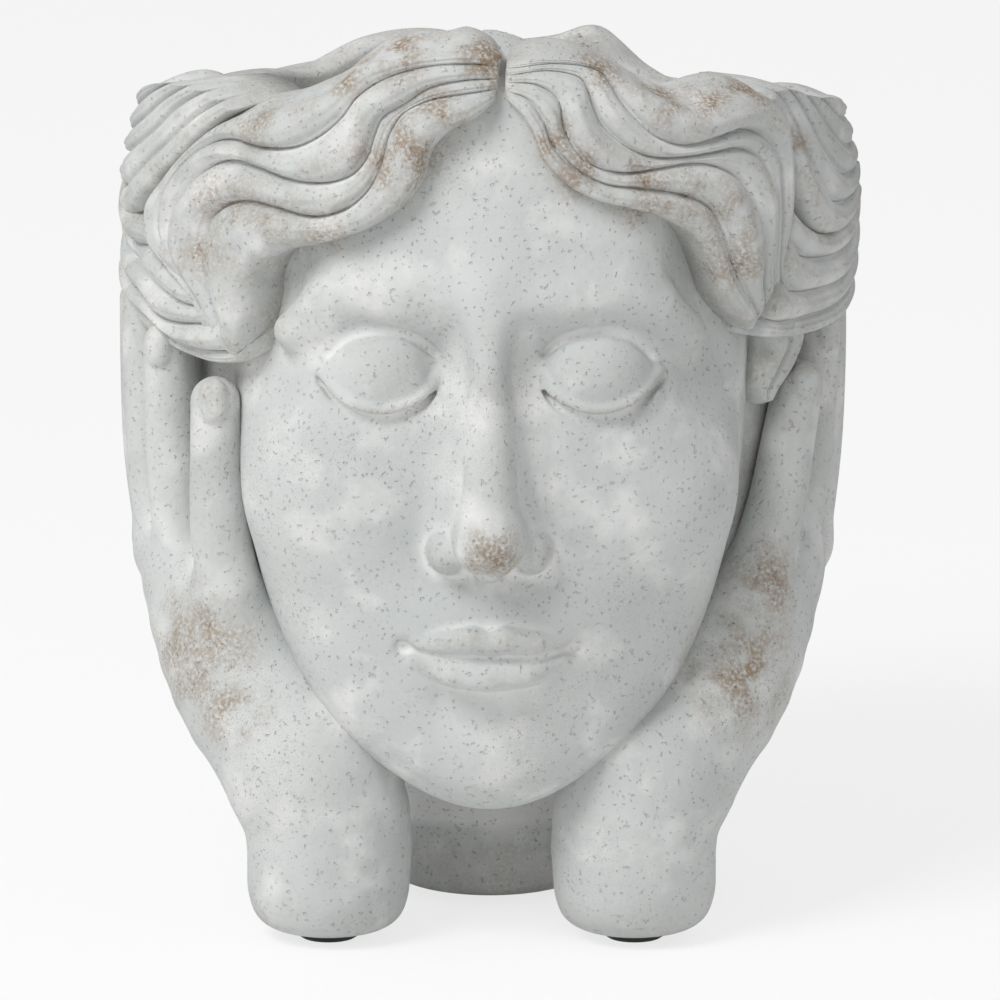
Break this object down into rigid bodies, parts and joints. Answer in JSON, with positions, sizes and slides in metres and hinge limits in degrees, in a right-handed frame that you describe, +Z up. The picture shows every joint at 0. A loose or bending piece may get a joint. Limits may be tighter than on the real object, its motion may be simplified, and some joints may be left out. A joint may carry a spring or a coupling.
{
  "type": "head planter",
  "caption": "Open-topped cement planter shaped as a calm head with wavy hair, cupped in its hands, with a drain hole and a pull-out plug.",
  "frame": {"origin": "on the floor, under the middle of the planter's width and depth", "axes": "+Z up, the face looks along -Y, +X to the viewer's right"},
  "size_m": [0.182, 0.1899, 0.2203],
  "materials": {
    "cement": "matte",
    "plug": "matte",
    "pad": "matte"
  },
  "bodies": {
    "casting": {"pot_shell": "cement", "neck_base": "cement", "face": "cement", "hair_front_left": "cement", "hair_front_right": "cement", "hair_side_left": "cement", "hair_side_right": "cement", "hair_back": "cement", "left_forearm": "cement", "left_palm": "cement", "left_little_finger": "cement", "left_ring_finger": "cement", "left_middle_finger": "cement", "left_index_finger": "cement", "left_thumb": "cement", "right_forearm": "cement", "right_palm": "cement", "right_little_finger": "cement", "right_ring_finger": "cement", "right_middle_finger": "cement", "right_index_finger": "cement", "right_thumb": "cement", "pad_front_left": "pad", "pad_front_right": "pad", "pad_back_left": "pad", "pad_back_right": "pad"},
    "drain_plug": {"drain_plug": "plug"}
  },
  "joints": [
    {"name": "plug_pull", "type": "slide", "parent": "casting", "child": "drain_plug", "axis": [0, 0, 1], "range_m": [0, 0.2]}
  ]
}
